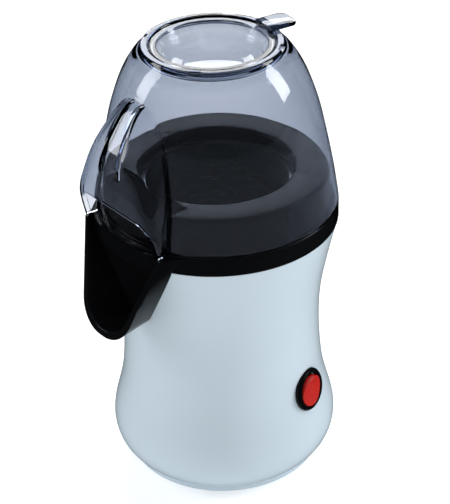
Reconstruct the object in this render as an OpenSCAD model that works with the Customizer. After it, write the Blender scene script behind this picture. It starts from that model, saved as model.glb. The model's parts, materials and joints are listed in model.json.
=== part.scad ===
// Hot-air popcorn maker: hourglass housing, hot-air popping chamber, smoked cover with an
// outlet hood, and a measuring cup set in the cover's top.
// Origin on the upright axis at table level, +Z up, the spout points to -Y.

/* [Housing] */
// Height of the whole object to the top of the cover's rim
total_h = 300; // [300:1:304]
// Radius of the cover's foot and of the black collar under it
collar_r = 77.9; // [77.4:0.1:78.2]
// Wall of the white housing
shell_wall = 2.2; // [1.8:0.1:2.6]
// Height at which the white housing ends and the collar begins
collar_z = 179; // [178:0.5:180]
// Height at which the cover stands on the collar
cover_z = 192; // [191.5:0.1:192.5]

/* [Deck and chamber] */
// Height of the black deck round the chamber's mouth
deck_z = 215; // [214:0.5:216]
// Radius of the hole in the deck
deck_hole_r = 49.6; // [49:0.1:50]
// Outer radius of the popping chamber
chamber_r = 47.5; // [46.5:0.1:48]
// Height of the chamber's floor
chamber_floor_z = 124; // [122:0.5:126]
// Number of angled air vents in the chamber's wall
vent_count = 16; // [8:1:20]

/* [Cover and cup] */
// Wall of the smoked cover
cover_wall = 2.2; // [1.8:0.1:2.4]
// Outer radius of the rim at the cover's top
rim_r = 44.3; // [43.8:0.1:45]
// Radius of the measuring cup's flange
cup_flange_r = 39; // [38.5:0.1:39.2]
// Depth of the measuring cup
cup_depth = 16.5; // [14:0.5:17]
// How far the cup's tab reaches from the axis
tab_reach = 57; // [54:0.5:60]
// Half width of the cup's tab
tab_half_w = 9.5; // [8:0.5:11]

/* [Spout] */
// Half width of the hood's mouth, outside
mouth_half_w = 38.5; // [37:0.5:39.5]
// Height of the mouth's upper edge
mouth_top_z = 215.5; // [212:0.5:218]
// Half width of the chute's lip, outside
lip_half_w = 38.4; // [37.5:0.1:39]
// Height of the lip's lowest point
lip_low_z = 126.7; // [125:0.1:129]
// Lean of the lip away from upright
lip_lean = 17.2; // [16:0.2:18.4]

/* [Switch] */
// Radius of the switch's bezel
bezel_r = 14.5; // [14:0.1:15]
// Direction of the switch, counted from +X towards +Y
switch_azimuth = 18; // [12:1:22]
// Height of the switch's centre
switch_z = 64.5; // [60:0.5:68]

/* [Motor and fan] */
// Radius of the motor shaft
shaft_r = 1.6; // [1.4:0.1:1.6]
// Radial play of the shaft in its bushes
shaft_play = 0.05; // [0.02:0.01:0.08]
// Radius of the fan
fan_r = 36; // [32:0.5:38]
// Number of fan blades
blade_count = 9; // [6:1:12]

/* [Hidden] */

ROUND = 96;
SMALL = 48;
HULL = 32;
EPS = 0.01;
BIG = 400;

// Colours
WHITE = [0.86, 0.90, 0.93];
BLACK = [0.04, 0.04, 0.045];
SMOKE = [0.45, 0.50, 0.56, 0.45];
CLEAR = [0.75, 0.80, 0.86, 0.35];
RED = [0.78, 0.10, 0.07];
ALUMINIUM = [0.75, 0.76, 0.77];
STEEL = [0.60, 0.61, 0.63];
BRASS = [0.78, 0.63, 0.30];
MICA = [0.72, 0.66, 0.55];
RUBBER = [0.12, 0.12, 0.12];
GREEN = [0.10, 0.35, 0.20];
CREAM = [0.85, 0.80, 0.66];

// Stations of the housing's outline, [radius, height], from the base up
base_z = 5.5;
base_r = 64.4;
shell_stations = [
    [base_r, base_z], [69.2, 9.5], [73.4, 16.5], [75.4, 26], [74.2, 37], [71, 49],
    [67.8, 63], [66, 80], [65.2, 98], [65.6, 118], [67.6, 135], [70.6, 150],
    [74, 165], [collar_r - 0.4, collar_z]
];
// Stations of the cover's outline, [radius, height], from its foot to under the rim
rim_z = total_h;
cover_stations = [
    [collar_r, cover_z], [76.2, 204], [74.3, 216], [70.9, 234], [66.6, 254],
    [63, 266], [58.8, 277.5], [54, 287], [rim_r + 3.4, 296], [rim_r + 0.5, rim_z - 1.2]
];

// Base
foot_h = 1.5;
base_spigot_z = 11;
screw_ring_r = 56;
boss_rib_reach = 17.8;
boss_rib_z = 20;
boss_rib_w = 2.4;
screw_boss_r = 4.5;
pilot_r = 1.45;
screw_r = 1.4;
screw_hole_r = 1.9;
screw_head_r = 3.2;
screw_head_h = 2;
counterbore_r = 3.6;
boss_low_z = 12;
boss_high_z = 30;
base_screw_angles = [30, 150, 270];
foot_angles = [45, 135, 225, 315];
foot_ring_r = 54;
foot_r = 7;
foot_top_z = 3.5;
board_guide_w = 2;
board_guide_h = 14;
inlet_inner_r = 14;
inlet_outer_r = 43;
inlet_step = 10;
inlet_count = 24;
inlet_w = 3;
inlet_leg_r = 30;

// Cord inlet in the back of the housing
gland_z = 21;
gland_bore_r = 3.6;
gland_r = 6;
gland_len = 20;
gland_tip_y = 79.5;
gland_flange_r = 8;
gland_flange_len = 5.5;
gland_collar_r = 7.2;
gland_collar_len = 2.5;
gland_pad_y = 65;

// Deck, drum and channel
drum_low_r = 73;
drum_high_r = 71.4;
drum_wall = 2.4;
skirt_low_z = 206.5;
skirt_wall = 2;
spigot_r = 73;
spigot_low_z = 171;
channel_half_w = 33;
channel_wall = 2;
channel_in_y = -48;
channel_in_z = 211.5;
channel_out_z = 191;
chamber_screw_ring_r = 59;
chamber_screw_angles = [45, 135, 225, 315];
flange_t = 1;
seal_t = 1.5;
chamber_wall = 1;
chamber_top_z = skirt_low_z - seal_t;
flange_low_z = chamber_top_z - flange_t;
flange_r = 54;
vent_low_z = 129;
vent_h = 13;
vent_w = 3;
vent_lean = 35;

// Chute: each outline is a rounded V, given by its half width, taper and corner radius
lip_top = [-77, 190.5];
lip_wall = 2.2;
lip_keel = 4.6;
lip_len = (lip_top[1] - lip_low_z) / cos(lip_lean);
lip_taper = 0.27;
lip_corner_r = 24;
pocket_taper = 0.36;
pocket_corner_r = 22;
chute_top_z = 191.7;
chute_back_y = -60;
chute_back_half_w = 49.7;
chute_back_low_z = 125.5;
chute_back_taper = 0.66;
chute_back_corner_r = 11;
chute_keel = 3;

// Hood
mouth_y = -77.5;
mouth_lean = 12;
mouth_corner_r = 10;
hood_root_y = -30;
hood_half_w = 33;
hood_spring_z = 238;
hood_top_z = 280;
hood_wall = 2.2;
hood_shoulder = [21, -69.5, 241];
hood_shoulder_r = 13;
hood_crown = [12, -54.5, 265.5];
hood_crown_r = 14;
slot_x = 8.5;
slot_spread = -6;
slot_low_z = 238;
slot_high_z = 276;

// Cup and rim
rim_inner_r = 36.9;
seat_r = cup_flange_r + 0.4;
seat_z = rim_z - 3;
cup_flange_t = 2;
cup_wall = 1.8;
cup_top_r = 36.4;
tab_t = 2.2;
tab_corner_r = 3.5;
notch_angles = [38, 128, 218, 308];
tab_turn = -8;

// Switch
switch_r = 68;
switch_lean = 9.5;
bezel_t = 2.4;
bezel_hole_r = 11.3;
rocker_r = 10.2;
rocker_tilt = 7;
switch_body_r = 10.6;
switch_body_len = 14;
switch_body_top = 1.6;
switch_tab_len = 5;
bezel_sink = 1.2;
rocker_pin_r = 1.2;
rocker_axis_depth = 3.5;

// Rectifier board and terminal block on the base plate
board_x = -52;
board_t = 1.6;
board_half_w = 12;
board_h = 25;
block_x = 12;
block_y = 38;
block_size = [20, 10, 11];
block_ways = 3;
block_pitch = 6.5;

// Motor, fan and heater
motor_r = 18;
motor_low_z = 14;
motor_high_z = 50;
motor_wall = 1.4;
bush_r = 4;
housing_floor_z = 50;
housing_floor_t = 2.4;
housing_top_z = 77;
housing_r = 46;
housing_wall = 2;
housing_leg_r = 4.5;
housing_leg_z = 10;
housing_leg_ring_r = 36;
housing_leg_angles = [90, 210, 330];
inlet_ring_r = 29;
motor_screw_angles = [0, 180];
motor_screw_ring_r = 12;
magnet_inner_r = 12.6;
magnet_span = 130;
magnet_low_z = 21;
magnet_h = 20;
armature_r = 11.5;
armature_slots = 5;
commutator_r = 5;
blade_t = 1.2;
blade_turn = 25;
fan_low_z = 56;
fan_high_z = 72;
fan_hub_r = 9;
duct_r = 44.5;
duct_wall = 0.8;
duct_lug_angles = [30, 150, 270];
duct_top_z = 117;
jacket_r = 56;
jacket_top_z = 160;
mica_r = 42;
mica_wall = 0.8;
mica_low_z = 79;
mica_top_z = 115;
former_half_w = 37;
former_t = 1;
coil_wire_r = 0.7;
coil_ring_r = former_half_w - 1;
coil_pitch = 5;
coil_turns = 6;
coil_low_z = 84;
thermostat_azimuth = 200;
thermostat_r = 8;
thermostat_t = 5;
thermostat_z = 95;
fuse_azimuth = 235;
fuse_r = 2;
fuse_len = 14;
fuse_z = 84;

// Catmull-Rom curve through a list of stations, with a given number of steps in each span
function catmull(a, b, c, d, t) =
    0.5 * (2 * b + (c - a) * t + (2 * a - 5 * b + 4 * c - d) * t * t
    + (3 * b - a - 3 * c + d) * t * t * t);
function smooth_line(p, steps) = [
    for (i = [0 : len(p) - 2])
        for (k = [0 : steps - 1])
            catmull(p[max(i - 1, 0)], p[i], p[i + 1], p[min(i + 2, len(p) - 1)], k / steps),
    p[len(p) - 1]
];
function reversed(p) = [for (i = [len(p) - 1 : -1 : 0]) p[i]];
function shifted(p, dr) = [for (q = p) [q[0] + dr, q[1]]];

// Turned wall between an outline and the same outline moved inwards
module turned_wall(line, wall) {
    rotate_extrude($fn = ROUND)
        polygon(concat(line, reversed(shifted(line, -wall))));
}

// Solid turned from an outline down to the axis
module turned_solid(line) {
    rotate_extrude($fn = ROUND)
        polygon(concat(line, [[0, line[len(line) - 1][1]], [0, line[0][1]]]));
}

module ring(outer, inner, low, high, segments = ROUND) {
    translate([0, 0, low])
        rotate_extrude($fn = segments)
            translate([inner, 0])
                square([outer - inner, high - low]);
}

module rod(r, low, high, segments = SMALL) {
    translate([0, 0, low])
        cylinder(r = r, h = high - low, $fn = segments);
}

module around(angles, radius) {
    for (a = angles)
        rotate([0, 0, a])
            translate([radius, 0, 0])
                children();
}

shell_line = smooth_line(shell_stations, 3);
cover_line = smooth_line(cover_stations, 3);

// ---------------------------------------------------------------- housing

module shell_boss() {
    difference() {
        union() {
            rod(screw_boss_r, boss_low_z, boss_high_z);
            translate([0, -boss_rib_w / 2, boss_rib_z])
                cube([boss_rib_reach, boss_rib_w, boss_high_z - boss_rib_z]);
        }
        rod(pilot_r, boss_low_z - 1, boss_high_z - 3);
    }
}

module outer_shell() {
    color(WHITE)
        difference() {
            union() {
                turned_wall(shell_line, shell_wall);
                around(base_screw_angles, screw_ring_r)
                    shell_boss();
                rotate([0, 0, 90])
                    translate([gland_pad_y, 0, gland_z])
                        rotate([0, 90, 0])
                            cylinder(r = gland_flange_r, h = 9, $fn = SMALL);
            }
            switch_place()
                translate([0, 0, -12])
                    cylinder(r = switch_body_r + 0.1, h = 20, $fn = SMALL);
            switch_place()
                translate([0, 0, -bezel_sink])
                    cylinder(r = bezel_r + 0.1, h = 8, $fn = ROUND);
            rotate([0, 0, 90])
                translate([60, 0, gland_z])
                    rotate([0, 90, 0])
                        cylinder(r = gland_r + 0.05, h = 30, $fn = SMALL);
        }
}

// Reach of an air slot: long and short ones by turns, cut short beside the housing's legs
function inlet_reach(i) =
    (i % 8 == 5 || i % 8 == 6) ? inlet_leg_r : inlet_outer_r - (i % 2) * inlet_step;

module base_plate() {
    color(WHITE)
        difference() {
            union() {
                rod(base_r - 0.4, foot_h + 1.5, base_z, ROUND);
                ring(base_r, base_r - 3, foot_h, base_z);
                ring(base_r - 2.7, base_r - 4.5, base_z - EPS, base_spigot_z);
                around(base_screw_angles, screw_ring_r)
                    rod(screw_boss_r, base_z - 1, boss_low_z);
                around(housing_leg_angles, housing_leg_ring_r)
                    rod(housing_leg_r, base_z, housing_leg_z);
                for (side = [-1, 1])
                    translate([
                        board_x - board_guide_w,
                        side * (board_half_w + 0.1 + board_guide_w / 2) - board_guide_w / 2,
                        base_z - EPS
                    ])
                        cube([board_t + 2 * board_guide_w, board_guide_w, board_guide_h]);
            }
            for (i = [0 : inlet_count - 1])
                rotate([0, 0, (i + 0.5) * 360 / inlet_count])
                    translate([inlet_inner_r, -inlet_w / 2, -1])
                        cube([inlet_reach(i) - inlet_inner_r, inlet_w, 10]);
            around(base_screw_angles, screw_ring_r) {
                rod(screw_hole_r, 0, 20);
                rod(counterbore_r, 0, 6);
            }
            around(housing_leg_angles, housing_leg_ring_r) {
                rod(screw_hole_r, 0, 20);
                rod(counterbore_r, 0, 5);
            }
            around(foot_angles, foot_ring_r)
                rod(foot_r + 0.05, 0, foot_top_z);
        }
}

module rubber_feet() {
    color(RUBBER)
        around(foot_angles, foot_ring_r)
            rod(foot_r, 0, foot_top_z);
}

module pan_screw(head_low, shank_high) {
    rod(screw_head_r, head_low, head_low + screw_head_h);
    rod(screw_r, head_low + screw_head_h - EPS, shank_high);
}

module base_screws() {
    color(STEEL)
        around(base_screw_angles, screw_ring_r)
            pan_screw(4, 24);
}

module cord_gland() {
    color(RUBBER)
        rotate([0, 0, 90])
            translate([gland_tip_y - gland_len, 0, gland_z])
                rotate([0, 90, 0])
                    difference() {
                        union() {
                            cylinder(r = gland_r, h = gland_len, $fn = SMALL);
                            cylinder(r = gland_flange_r, h = gland_flange_len, $fn = SMALL);
                            translate([0, 0, gland_len - gland_collar_len])
                                cylinder(r = gland_collar_r, h = gland_collar_len, $fn = SMALL);
                        }
                        translate([0, 0, -1])
                            cylinder(r = gland_bore_r, h = gland_len + 2, $fn = SMALL);
                    }
}

// ---------------------------------------------------------------- deck and chute

deck_profile = [
    [spigot_r, spigot_low_z], [spigot_r, collar_z], [collar_r, collar_z],
    [collar_r, cover_z - 0.8], [collar_r - 0.8, cover_z], [drum_low_r, cover_z],
    [drum_high_r, deck_z - 3], [drum_high_r - 0.9, deck_z - 0.9], [drum_high_r - 3, deck_z],
    [deck_hole_r + 1.6, deck_z], [deck_hole_r, deck_z - 1.6], [deck_hole_r, skirt_low_z],
    [deck_hole_r + skirt_wall, skirt_low_z], [deck_hole_r + skirt_wall, deck_z - drum_wall],
    [drum_high_r - drum_wall - 1, deck_z - drum_wall], [drum_low_r - drum_wall, cover_z - 3],
    [spigot_r - drum_wall, cover_z - 6], [spigot_r - drum_wall, spigot_low_z]
];

// Everything above the channel's ramp, or from a given drop below it, across the front
module channel_slice(half_w, drop, height) {
    slope = (channel_in_z - channel_out_z) / (channel_in_y + collar_r);
    y_in = channel_in_y;
    y_out = -collar_r - 4;
    z_out = channel_in_z - slope * (y_in - y_out);
    translate([-half_w, 0, 0])
        rotate([90, 0, 90])
            linear_extrude(height = 2 * half_w)
                polygon([
                    [y_in, channel_in_z - drop], [y_out, z_out - drop],
                    [y_out, z_out - drop + height], [y_in, channel_in_z - drop + height]
                ]);
}

module deck() {
    color(BLACK)
        difference() {
            union() {
                rotate_extrude($fn = ROUND)
                    polygon(deck_profile);
                intersection() {
                    channel_slice(channel_half_w + channel_wall, channel_wall, 20);
                    difference() {
                        rod(drum_high_r - 1, 180, deck_z - 0.5, ROUND);
                        rod(deck_hole_r, 170, 230, ROUND);
                    }
                }
                around(chamber_screw_angles, chamber_screw_ring_r)
                    rod(4, chamber_top_z, deck_z - 1);
            }
            channel_slice(channel_half_w, 0, 60);
            rod(deck_hole_r, 170, 230, ROUND);
            around(chamber_screw_angles, chamber_screw_ring_r)
                rod(pilot_r, chamber_top_z - 1, deck_z - 4);
        }
}

// Rounded V that hangs from its top edge: the corners' arcs are tangent to the tapering sides
function v_arc(half_w, depth, taper, r) =
    let (x = half_w - taper * (depth - r) - r * sqrt(1 + taper * taper), lean = atan(taper))
        [for (k = [0 : 8]) let (a = -lean - k * (90 - lean) / 8) [x + r * cos(a), r - depth + r * sin(a)]];

module v_outline(half_w, depth, taper, r) {
    arc = v_arc(half_w, depth, taper, r);
    polygon(concat([[half_w, 0]], arc, [for (q = reversed(arc)) [-q[0], q[1]]], [[-half_w, 0]]));
}

module lip_slab(half_w, depth, taper, r, forward) {
    translate([0, lip_top[0], lip_top[1]])
        rotate([-lip_lean, 0, 0])
            translate([0, -forward, 0])
                rotate([90, 0, 0])
                    linear_extrude(height = 0.1)
                        v_outline(half_w, depth, taper, r);
}

module back_slab(half_w, depth, r, top) {
    translate([0, chute_back_y, top])
        rotate([90, 0, 0])
            linear_extrude(height = 0.1)
                v_outline(half_w, depth, chute_back_taper, r);
}

// Everything behind the chute's back: the housing and collar, grown by a given distance
module chute_backing(grow, top) {
    turned_solid(shifted(shell_line, grow));
    rod(collar_r + grow, collar_z - EPS, top, ROUND);
}

module chute() {
    back_depth = chute_top_z - chute_back_low_z;
    color(BLACK)
        difference() {
            hull() {
                lip_slab(lip_half_w, lip_len, lip_taper, lip_corner_r, 0);
                back_slab(chute_back_half_w, back_depth, chute_back_corner_r, chute_top_z);
            }
            difference() {
                hull() {
                    lip_slab(lip_half_w - lip_wall, lip_len - lip_keel, pocket_taper, pocket_corner_r, 0.2);
                    back_slab(
                        chute_back_half_w - lip_wall, back_depth - chute_keel,
                        chute_back_corner_r - lip_wall, chute_top_z
                    );
                    translate([-lip_half_w + lip_wall, chute_back_y - 1, chute_top_z])
                        cube([2 * (lip_half_w - lip_wall), 1, 1]);
                }
                chute_backing(lip_wall, channel_out_z - 0.2);
            }
            chute_backing(0.1, chute_top_z + 10);
            translate([-BIG / 2, -BIG / 2, chute_top_z])
                cube([BIG, BIG, 30]);
        }
}

// ---------------------------------------------------------------- chamber and hot air

module popping_chamber() {
    color(ALUMINIUM)
        difference() {
            union() {
                ring(chamber_r, chamber_r - chamber_wall, chamber_floor_z, chamber_top_z);
                rod(chamber_r, chamber_floor_z - chamber_wall, chamber_floor_z + EPS, ROUND);
                translate([0, 0, chamber_floor_z - EPS])
                    cylinder(r1 = 14, r2 = 1.5, h = 8, $fn = SMALL);
                ring(flange_r, chamber_r - chamber_wall, flange_low_z, chamber_top_z);
                around(chamber_screw_angles, chamber_screw_ring_r) {
                    rod(4.5, flange_low_z, chamber_top_z);
                    translate([-8, -4.5, flange_low_z])
                        cube([8, 9, flange_t]);
                }
            }
            for (i = [0 : vent_count - 1])
                rotate([0, 0, i * 360 / vent_count])
                    translate([chamber_r, 0, vent_low_z + vent_h / 2])
                        rotate([vent_lean, 0, 0])
                            cube([6, vent_w, vent_h], center = true);
            around(chamber_screw_angles, chamber_screw_ring_r)
                rod(screw_hole_r, flange_low_z - 1, chamber_top_z + 1);
        }
}

module chamber_seal() {
    color(RUBBER)
        ring(deck_hole_r + skirt_wall, deck_hole_r, chamber_top_z, skirt_low_z);
}

module chamber_screws() {
    color(STEEL)
        around(chamber_screw_angles, chamber_screw_ring_r)
            pan_screw(flange_low_z - 2, deck_z - 6);
}

module air_jacket() {
    color(STEEL)
        rotate_extrude($fn = ROUND)
            polygon([
                [duct_r + 0.05, duct_top_z - 8], [duct_r + 1, duct_top_z - 8], [duct_r + 1, duct_top_z],
                [jacket_r, duct_top_z + 6], [jacket_r, jacket_top_z], [chamber_r + 0.1, jacket_top_z + 4],
                [chamber_r + 0.1, jacket_top_z + 3], [jacket_r - 0.9, jacket_top_z - 1],
                [jacket_r - 0.9, duct_top_z + 6.6], [duct_r + 0.05, duct_top_z + 1]
            ]);
}

module heater_duct() {
    color(STEEL) {
        ring(duct_r, duct_r - duct_wall, housing_top_z, duct_top_z);
        ring(housing_r + 3, duct_r - duct_wall, housing_top_z, housing_top_z + 1);
        around(duct_lug_angles, duct_r - 3)
            translate([0, -3, housing_top_z])
                cube([2.6, 6, 1]);
    }
}

module mica_sleeve() {
    color(MICA)
        ring(mica_r, mica_r - mica_wall, mica_low_z, mica_top_z);
}

module heater_former() {
    color(MICA)
        difference() {
            union() {
                for (turn = [0, 90])
                    rotate([0, 0, turn])
                        translate([-former_half_w, -former_t / 2, mica_low_z - 1])
                            cube([2 * former_half_w, former_t, mica_top_z - mica_low_z + 1]);
                ring(duct_r - duct_wall - 0.1, former_half_w - 1, mica_low_z - 1, mica_low_z);
            }
            heater_turns(0.3);
        }
}

// Turns of resistance ribbon, seated in notches in the former's edges
module heater_turns(play) {
    half = coil_wire_r + play;
    for (i = [0 : coil_turns - 1])
        translate([0, 0, coil_low_z + i * coil_pitch])
            ring(coil_ring_r + half, coil_ring_r - half, -half, half);
}

module heater_coil() {
    color(STEEL) {
        heater_turns(0);
        rotate([0, 0, 20])
            translate([coil_ring_r, 0, 0])
                rod(coil_wire_r - 0.1, coil_low_z, coil_low_z + (coil_turns - 1) * coil_pitch, 16);
    }
}

module thermostat() {
    color(BLACK)
        rotate([0, 0, thermostat_azimuth])
            translate([duct_r, 0, thermostat_z])
                rotate([0, 90, 0]) {
                    cylinder(r = thermostat_r, h = thermostat_t, $fn = SMALL);
                    translate([-6, -1, thermostat_t - EPS])
                        cube([12, 2, 4]);
                }
}

module thermal_fuse() {
    color(ALUMINIUM)
        rotate([0, 0, fuse_azimuth])
            translate([duct_r + fuse_r + 0.1, 0, fuse_z])
                rod(fuse_r, 0, fuse_len);
}

// ---------------------------------------------------------------- motor and fan

module fan_housing() {
    color(CREAM)
        difference() {
            union() {
                ring(housing_r, housing_r - housing_wall, housing_floor_z, housing_top_z);
                rod(housing_r, housing_floor_z, housing_floor_z + housing_floor_t, ROUND);
                ring(housing_r + 3, housing_r - housing_wall, housing_top_z - 2, housing_top_z);
                around(housing_leg_angles, housing_leg_ring_r)
                    rod(housing_leg_r, housing_leg_z, housing_floor_z + 1);
            }
            for (i = [0 : 2])
                rotate([0, 0, i * 120 - 30])
                    rotate_extrude(angle = 90, start = 0, $fn = ROUND)
                        translate([motor_r + 2, housing_floor_z - 1])
                            square([inlet_ring_r - motor_r - 2, 5]);
            rod(bush_r + 2, housing_floor_z - 1, housing_floor_z + 5);
            around(motor_screw_angles, motor_screw_ring_r)
                rod(screw_hole_r, housing_floor_z - 1, housing_floor_z + 5);
            around(housing_leg_angles, housing_leg_ring_r)
                rod(pilot_r, 5, 30);
        }
}

module housing_screws() {
    color(STEEL)
        around(housing_leg_angles, housing_leg_ring_r)
            pan_screw(3, 26);
}

module fan_impeller() {
    color(CREAM)
        difference() {
            union() {
                rod(fan_hub_r, fan_low_z, fan_high_z);
                rod(fan_r, fan_low_z, fan_low_z + 1.4, ROUND);
                for (i = [0 : blade_count - 1])
                    rotate([0, 0, i * 360 / blade_count])
                        translate([fan_hub_r - 2, 0, fan_low_z + 1])
                            rotate([0, 0, blade_turn])
                                translate([0, -blade_t / 2, 0])
                                    cube([fan_r - fan_hub_r - 1, blade_t, fan_high_z - fan_low_z - 2]);
            }
            rod(shaft_r, fan_low_z - 1, fan_high_z + 1);
        }
}

module motor_shaft() {
    color(STEEL)
        rod(shaft_r, motor_low_z - 2, fan_high_z + 2);
}

module motor_armature() {
    color(STEEL)
        difference() {
            union() {
                rod(armature_r, magnet_low_z + 1, magnet_low_z + magnet_h - 1);
                rod(commutator_r, motor_low_z + 4, motor_high_z - 6);
            }
            rod(shaft_r, 10, 60);
            for (i = [0 : armature_slots - 1])
                rotate([0, 0, i * 360 / armature_slots])
                    translate([armature_r - 2.5, -1.5, magnet_low_z])
                        cube([5, 3, magnet_h]);
        }
}

module motor_can() {
    color(STEEL)
        difference() {
            rod(motor_r, motor_low_z, motor_high_z);
            rod(motor_r - motor_wall, motor_low_z + motor_wall, motor_high_z - motor_wall);
            rod(bush_r, motor_low_z - 1, motor_high_z + 1);
            around(motor_screw_angles, motor_screw_ring_r)
                rod(pilot_r, motor_high_z - 3, motor_high_z + 1);
        }
}

module motor_magnets() {
    color(BLACK)
        for (side = [0, 180])
            rotate([0, 0, side - magnet_span / 2])
                rotate_extrude(angle = magnet_span, start = 0, $fn = ROUND)
                    translate([magnet_inner_r, magnet_low_z])
                        square([motor_r - motor_wall - 0.05 - magnet_inner_r, magnet_h]);
}

module motor_bushes() {
    color(BRASS)
        for (low = [motor_low_z - 1, motor_high_z - 3])
            ring(bush_r, shaft_r + shaft_play, low, low + 4, SMALL);
}

module motor_screws() {
    color(STEEL)
        around(motor_screw_angles, motor_screw_ring_r)
            translate([0, 0, housing_floor_z + housing_floor_t])
                mirror([0, 0, 1]) {
                    rod(screw_r, 0, 5);
                    rod(2 * screw_r, -1.8, 0);
                }
}

module rectifier_board() {
    color(GREEN)
        translate([board_x, 0, base_z]) {
            translate([0, -board_half_w, 0])
                cube([board_t, 2 * board_half_w, board_h]);
            for (i = [0 : 3])
                translate([board_t - EPS, -9.2 + i * 5, 3])
                    cube([3, 3.4, 9]);
            translate([board_t - EPS, -9, 15])
                cube([6, 18, 5]);
        }
}

module terminal_block() {
    color(CREAM)
        difference() {
            translate([block_x, block_y, base_z])
                cube(block_size);
            for (i = [0 : block_ways - 1])
                translate([block_x + 3.5 + i * block_pitch, block_y + block_size[1] / 2, base_z + 5])
                    rod(1.8, 0, 10);
        }
}

// ---------------------------------------------------------------- switch

module switch_place() {
    rotate([0, 0, switch_azimuth])
        translate([switch_r, 0, switch_z])
            rotate([0, 90 - switch_lean, 0])
                children();
}

module switch_bezel() {
    color(BLACK)
        switch_place()
            difference() {
                union() {
                    translate([0, 0, bezel_t - 1.2])
                        cylinder(r1 = bezel_r, r2 = bezel_r - 1.2, h = 1.2, $fn = ROUND);
                    cylinder(r = bezel_r, h = bezel_t - 1.2, $fn = ROUND);
                    translate([0, 0, -bezel_sink])
                        cylinder(r = bezel_r, h = bezel_sink + EPS, $fn = ROUND);
                }
                translate([0, 0, -5])
                    cylinder(r = bezel_hole_r, h = 10, $fn = ROUND);
            }
}

module switch_body() {
    color(BLACK)
        switch_place()
            difference() {
                union() {
                    translate([0, 0, -switch_body_len])
                        cylinder(r = switch_body_r, h = switch_body_len - switch_body_top, $fn = ROUND);
                    for (i = [-1 : 1])
                        translate([i * 6 - 2.4, -0.4, -switch_body_len - switch_tab_len])
                            cube([4.8, 0.8, switch_tab_len + 0.1]);
                }
                translate([0, 0, -8.5])
                    cylinder(r = 8.8, h = 20, $fn = ROUND);
                translate([0, 12, -rocker_axis_depth])
                    rotate([90, 0, 0])
                        cylinder(r = rocker_pin_r + 0.05, h = 24, $fn = SMALL);
            }
}

module switch_rocker() {
    color(RED)
        switch_place()
            translate([0, 0, -rocker_axis_depth])
                rotate([0, rocker_tilt, 0])
                    difference() {
                        union() {
                            translate([0, 0, 3.6])
                                intersection() {
                                    cylinder(r = rocker_r, h = 3.6, $fn = ROUND);
                                    translate([0, 20, 1.2])
                                        rotate([90, 0, 0])
                                            difference() {
                                                translate([-15, -3, 0])
                                                    cube([30, 6, 40]);
                                                translate([0, 39.2, -1])
                                                    cylinder(r = 38, h = 42, $fn = ROUND);
                                            }
                                }
                            translate([-3, -6.5, -3])
                                cube([6, 13, 6.8]);
                        }
                        translate([0, 12, 0])
                            rotate([90, 0, 0])
                                cylinder(r = rocker_pin_r + 0.05, h = 24, $fn = SMALL);
                    }
}

module rocker_pin() {
    color(STEEL)
        switch_place()
            translate([0, 10, -rocker_axis_depth])
                rotate([90, 0, 0])
                    cylinder(r = rocker_pin_r, h = 20, $fn = SMALL);
}

// ---------------------------------------------------------------- wiring

// Tube swept along a route, with a ring of sides at each point
module swept_tube(route, r, sides) {
    n = len(route);
    function along(i) = route[min(i + 1, n - 1)] - route[max(i - 1, 0)];
    function unit(v) = v / norm(v);
    function across(t) = unit(cross(t, abs(t[2]) < 0.8 * norm(t) ? [0, 0, 1] : [1, 0, 0]));
    rings = [
        for (i = [0 : n - 1])
            let (t = unit(along(i)), u = across(t), v = cross(t, u))
                for (k = [0 : sides - 1])
                    route[i] + r * (cos(k * 360 / sides) * u + sin(k * 360 / sides) * v)
    ];
    faces = concat(
        [[for (k = [0 : sides - 1]) k]],
        [[for (k = [sides - 1 : -1 : 0]) (n - 1) * sides + k]],
        [
            for (i = [0 : n - 2])
                for (k = [0 : sides - 1])
                    let (a = i * sides, b = (i + 1) * sides, next = (k + 1) % sides)
                        [a + k, b + k, b + next, a + next]
        ]
    );
    polyhedron(points = rings, faces = faces, convexity = 4);
}

lead_r = 1.3;
// Hand-laid routes inside the housing: block to switch, switch to heater, block to board
lead_routes = [
    [
        [28.5, 49.6, 12], [31, 53, 15], [38, 51, 22], [45, 44, 34], [48.5, 34, 46], [47.7, 25.2, 54.4],
        [48.6, 20.8, 55.7], [49.9, 16.9, 55.9]
    ],
    [
        [48.4, 15.1, 67.7], [49.6, 11.5, 68], [51.8, 7, 71], [53.5, 1, 77], [53, -6, 83],
        [50, -10, 88], [46.6, -12, 91]
    ],
    [
        [15.5, 49.6, 12], [13, 53, 16], [0, 57, 25], [-24, 52, 32], [-42, 36, 36], [-50, 16, 39],
        [-51.2, 7, 36], [-51.2, 6, 31.4]
    ]
];

module internal_leads() {
    color(WHITE)
        for (route = lead_routes)
            swept_tube(smooth_line(route, 3), lead_r, 8);
}

// ---------------------------------------------------------------- cover and cup

module mouth_slab(half_w, top_z, forward) {
    height = top_z - cover_z;
    translate([0, mouth_y - forward, cover_z])
        rotate([mouth_lean, 0, 0])
            rotate([90, 0, 0])
                linear_extrude(height = 0.1)
                    hull() {
                        for (side = [-1, 1])
                            translate([side * (half_w - mouth_corner_r), height - mouth_corner_r])
                                circle(r = mouth_corner_r, $fn = HULL);
                        translate([-half_w + 2, 0])
                            square([2 * half_w - 4, 1]);
                    }
}

module hood_root_slab(inset) {
    translate([0, hood_root_y, hood_spring_z])
        rotate([90, 0, 0])
            linear_extrude(height = 0.1)
                union() {
                    translate([-hood_half_w + inset, cover_z - hood_spring_z])
                        square([2 * (hood_half_w - inset), hood_spring_z - cover_z]);
                    polygon([
                        for (a = [0 : 10 : 180])
                            [(hood_half_w - inset) * cos(a), (hood_top_z - inset - hood_spring_z) * sin(a)]
                    ]);
                }
}

module hood_ball(place, r, inset) {
    for (side = [-1, 1])
        translate([side * place[0], place[1], place[2]])
            sphere(r = r - inset, $fn = HULL);
}

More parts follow.
